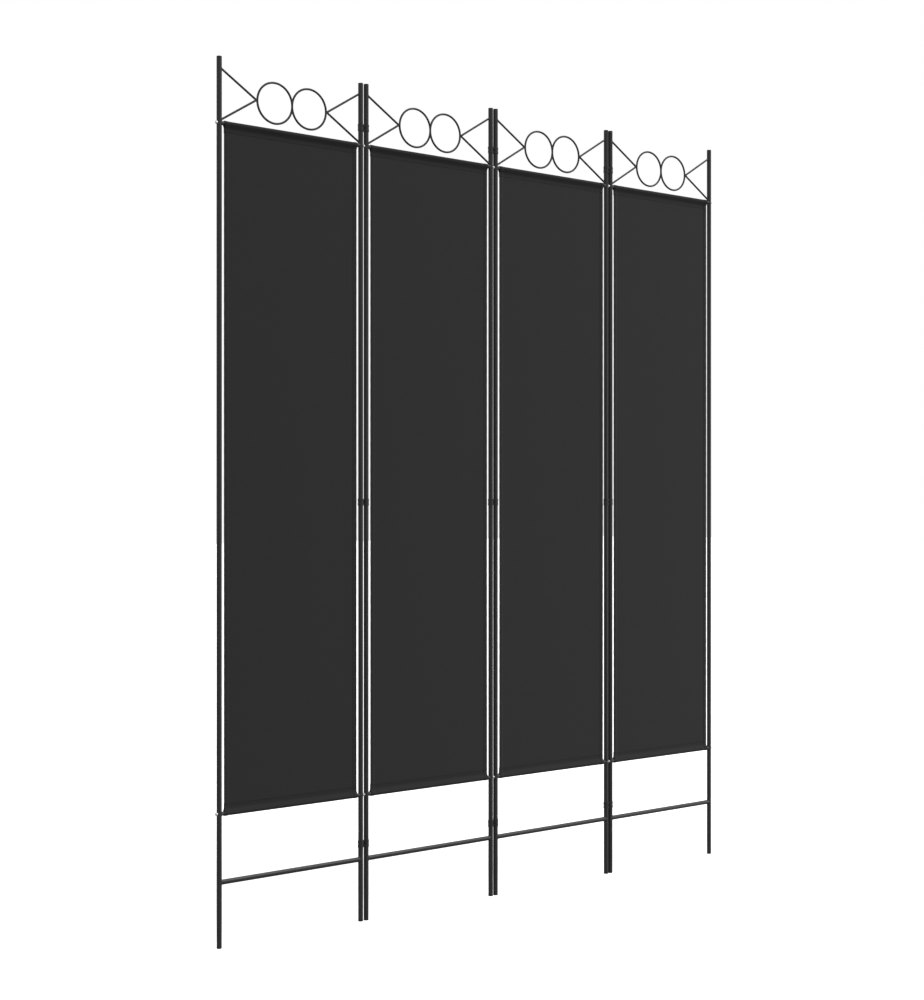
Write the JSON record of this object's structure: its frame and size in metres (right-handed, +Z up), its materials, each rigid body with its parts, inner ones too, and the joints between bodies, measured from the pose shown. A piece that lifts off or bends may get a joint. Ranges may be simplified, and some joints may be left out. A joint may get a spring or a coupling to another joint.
{
  "type": "folding room divider screen",
  "caption": "Folding room divider screen: slim black steel frames with ring-and-brace tops, flat black cloth panels on rods, and clip-on hinge clips between the posts.",
  "frame": {"origin": "on the floor under the middle of the row of panels, in the plane of the post axes", "axes": "+X along the unfolded row of panels, towards the last panel; front towards -Y; +Z up"},
  "size_m": [1.6062, 0.013, 2],
  "materials": {
    "powder_coat": "satin black powder coat",
    "cloth": "plain woven black polyester",
    "black_nylon": "moulded black nylon",
    "zinc_steel": "bright zinc plated",
    "plain_steel": "plain machined steel"
  },
  "bodies": {
    "panel_1": {"panel_1_left_post": "powder_coat", "panel_1_right_post": "powder_coat", "panel_1_post_caps": "black_nylon", "panel_1_foot_plugs": "black_nylon", "panel_1_top_rod": "powder_coat", "panel_1_bottom_rod": "powder_coat", "panel_1_lower_stretcher": "powder_coat", "panel_1_left_ring": "powder_coat", "panel_1_right_ring": "powder_coat", "panel_1_left_brace": "powder_coat", "panel_1_right_brace": "powder_coat", "panel_1_cloth": "cloth", "panel_1_screws": "zinc_steel", "panel_1_rod_inserts": "plain_steel"},
    "clips_1_2": {"hinge_clips_1_2": "black_nylon"},
    "panel_2": {"panel_2_left_post": "powder_coat", "panel_2_right_post": "powder_coat", "panel_2_post_caps": "black_nylon", "panel_2_foot_plugs": "black_nylon", "panel_2_top_rod": "powder_coat", "panel_2_bottom_rod": "powder_coat", "panel_2_lower_stretcher": "powder_coat", "panel_2_left_ring": "powder_coat", "panel_2_right_ring": "powder_coat", "panel_2_left_brace": "powder_coat", "panel_2_right_brace": "powder_coat", "panel_2_cloth": "cloth", "panel_2_screws": "zinc_steel", "panel_2_rod_inserts": "plain_steel"},
    "clips_2_3": {"hinge_clips_2_3": "black_nylon"},
    "panel_3": {"panel_3_left_post": "powder_coat", "panel_3_right_post": "powder_coat", "panel_3_post_caps": "black_nylon", "panel_3_foot_plugs": "black_nylon", "panel_3_top_rod": "powder_coat", "panel_3_bottom_rod": "powder_coat", "panel_3_lower_stretcher": "powder_coat", "panel_3_left_ring": "powder_coat", "panel_3_right_ring": "powder_coat", "panel_3_left_brace": "powder_coat", "panel_3_right_brace": "powder_coat", "panel_3_cloth": "cloth", "panel_3_screws": "zinc_steel", "panel_3_rod_inserts": "plain_steel"},
    "clips_3_4": {"hinge_clips_3_4": "black_nylon"},
    "panel_4": {"panel_4_left_post": "powder_coat", "panel_4_right_post": "powder_coat", "panel_4_post_caps": "black_nylon", "panel_4_foot_plugs": "black_nylon", "panel_4_top_rod": "powder_coat", "panel_4_bottom_rod": "powder_coat", "panel_4_lower_stretcher": "powder_coat", "panel_4_left_ring": "powder_coat", "panel_4_right_ring": "powder_coat", "panel_4_left_brace": "powder_coat", "panel_4_right_brace": "powder_coat", "panel_4_cloth": "cloth", "panel_4_screws": "zinc_steel", "panel_4_rod_inserts": "plain_steel"}
  },
  "joints": [
    {"name": "fold_1_2", "type": "hinge", "parent": "panel_2", "child": "clips_1_2", "pos_m": [-0.393, 0, 1], "axis": [0, 0, -1], "range_deg": [0, 90]},
    {"name": "swing_1_2", "type": "hinge", "parent": "clips_1_2", "child": "panel_1", "pos_m": [-0.409, 0, 1], "axis": [0, 0, -1], "range_deg": [0, 90]},
    {"name": "fold_2_3", "type": "hinge", "parent": "panel_2", "child": "clips_2_3", "pos_m": [-0.008, 0, 1], "axis": [0, 0, -1], "range_deg": [0, 90]},
    {"name": "swing_2_3", "type": "hinge", "parent": "clips_2_3", "child": "panel_3", "pos_m": [0.008, 0, 1], "axis": [0, 0, -1], "range_deg": [0, 90]},
    {"name": "fold_3_4", "type": "hinge", "parent": "panel_3", "child": "clips_3_4", "pos_m": [0.393, 0, 1], "axis": [0, 0, 1], "range_deg": [0, 90]},
    {"name": "swing_3_4", "type": "hinge", "parent": "clips_3_4", "child": "panel_4", "pos_m": [0.409, 0, 1], "axis": [0, 0, 1], "range_deg": [0, 90]}
  ]
}
